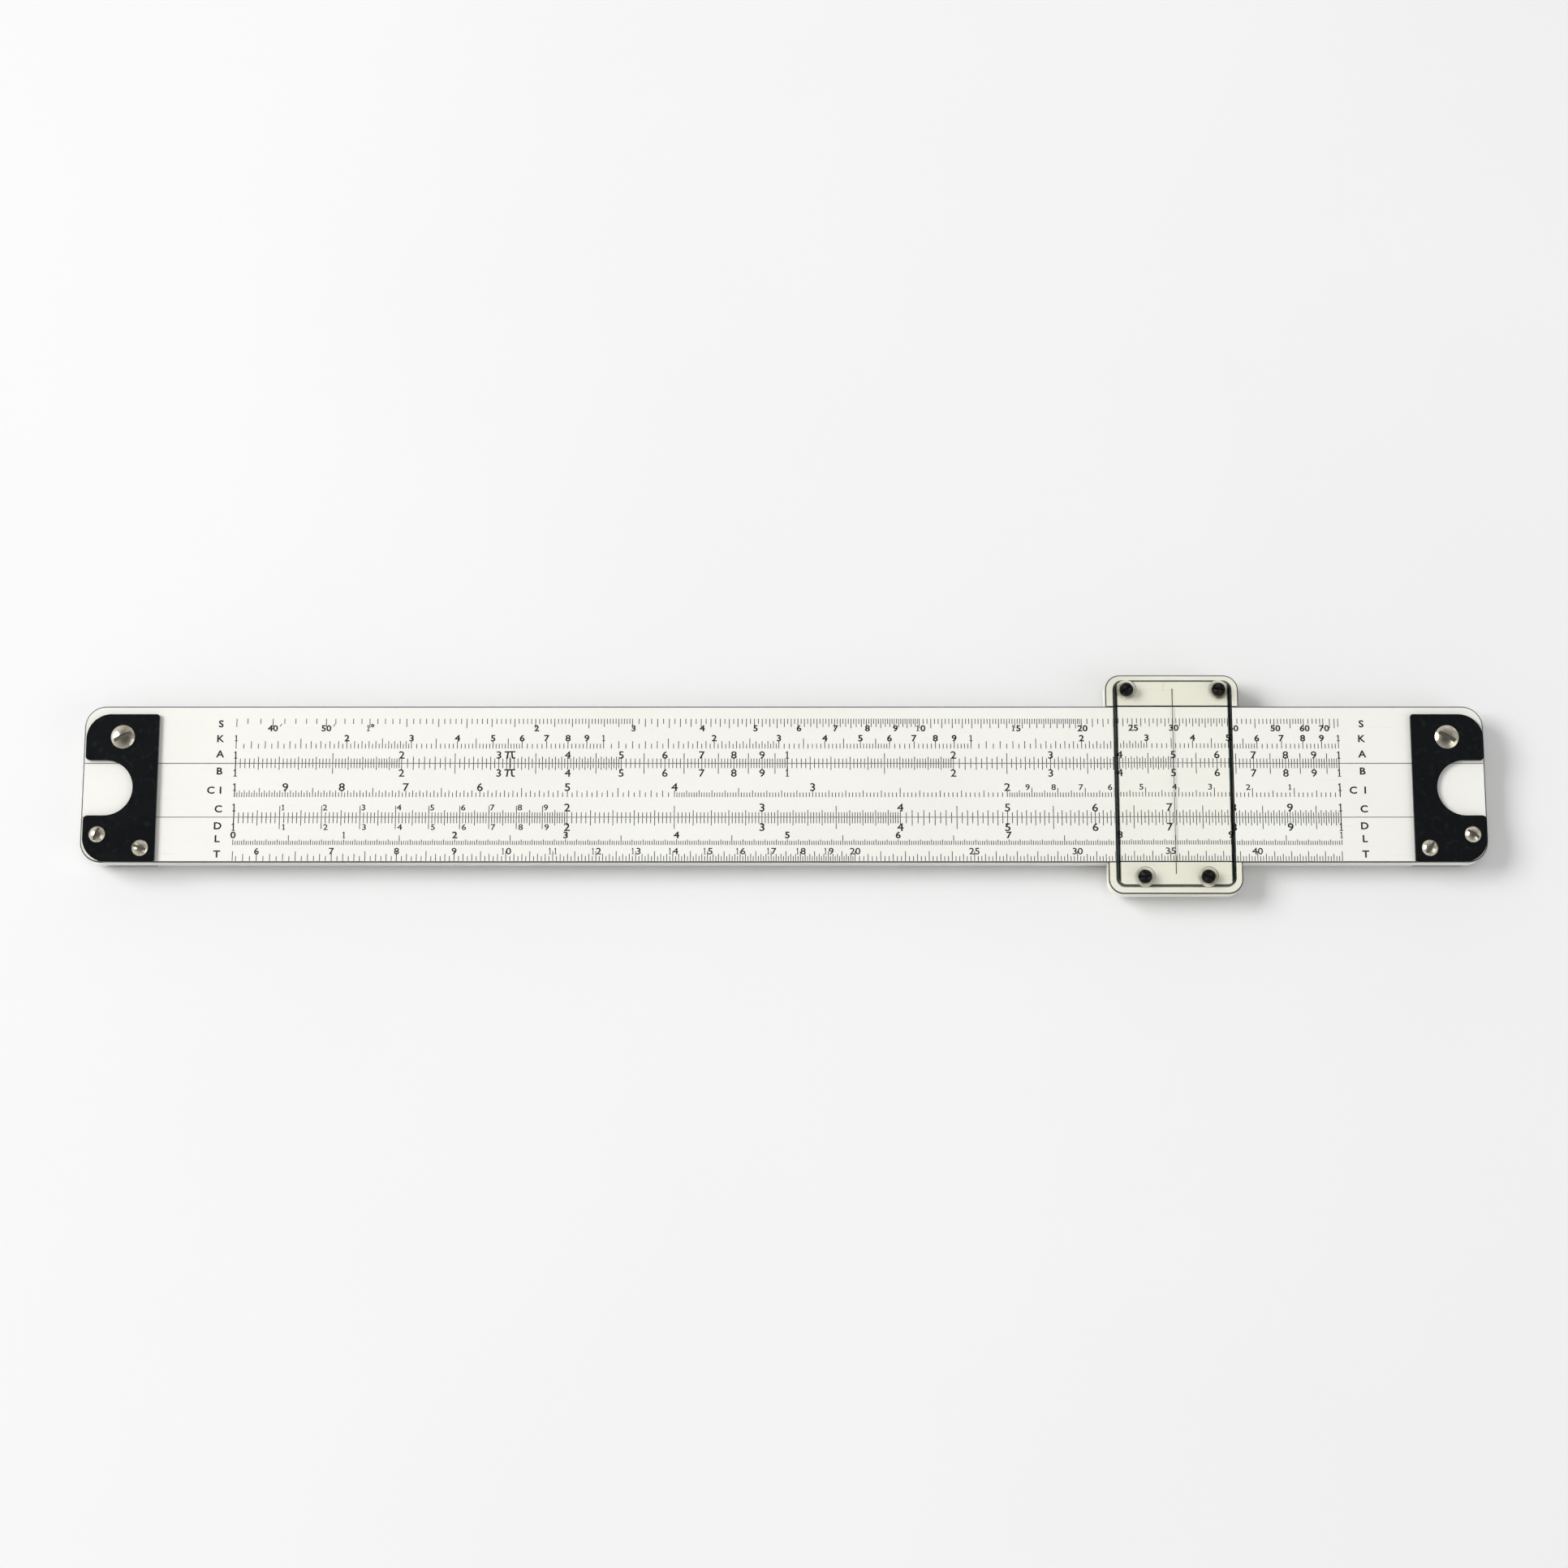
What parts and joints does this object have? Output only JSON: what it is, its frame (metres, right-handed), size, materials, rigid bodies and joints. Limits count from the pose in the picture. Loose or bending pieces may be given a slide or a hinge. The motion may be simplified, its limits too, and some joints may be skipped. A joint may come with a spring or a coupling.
{
  "type": "slide rule",
  "caption": "Duplex slide rule with a sliding centre bar between two stators, screwed black end plates and a clear hairline cursor on its edges.",
  "frame": {"origin": "middle of the rule's length and width, on the plane that the back nuts' crowns rest on", "axes": "+X along the rule towards the right index, +Y across it towards the upper stator, +Z out of the front face"},
  "size_m": [0.3174, 0.0504, 0.0084],
  "materials": {
    "body_plastic": "satin",
    "plate_plastic": "gloss",
    "fastener_steel": "polished",
    "window_acrylic": "clear",
    "ink": "matte",
    "cursor_plastic": "satin",
    "spring_steel": "satin",
    "cursor_screw_steel": "satin"
  },
  "bodies": {
    "frame": {"upper_stator": "body_plastic", "lower_stator": "body_plastic", "front_plate_left": "plate_plastic", "front_plate_right": "plate_plastic", "back_plate_left": "plate_plastic", "back_plate_right": "plate_plastic", "adjusting_screw_left": "fastener_steel", "adjusting_screw_right": "fastener_steel", "fixing_screw_outer_left": "fastener_steel", "fixing_screw_inner_left": "fastener_steel", "fixing_screw_inner_right": "fastener_steel", "fixing_screw_outer_right": "fastener_steel", "adjusting_nut_left": "fastener_steel", "adjusting_nut_right": "fastener_steel", "fixing_nut_outer_left": "fastener_steel", "fixing_nut_inner_left": "fastener_steel", "fixing_nut_inner_right": "fastener_steel", "fixing_nut_outer_right": "fastener_steel"},
    "slide": {"slide": "body_plastic"},
    "cursor": {"cursor_window": "window_acrylic", "cursor_hairline": "ink", "cursor_upper_block": "cursor_plastic", "cursor_lower_block": "cursor_plastic", "cursor_tension_spring": "spring_steel", "cursor_screw_upper_left": "cursor_screw_steel", "cursor_screw_upper_right": "cursor_screw_steel", "cursor_screw_lower_left": "cursor_screw_steel", "cursor_screw_lower_right": "cursor_screw_steel"}
  },
  "joints": [
    {"name": "slide_travel", "type": "slide", "parent": "frame", "child": "slide", "axis": [1, 0, 0], "range_m": [-0.25, 0.25]},
    {"name": "cursor_travel", "type": "slide", "parent": "frame", "child": "cursor", "axis": [1, 0, 0], "range_m": [-0.2163, 0.0404]}
  ]
}
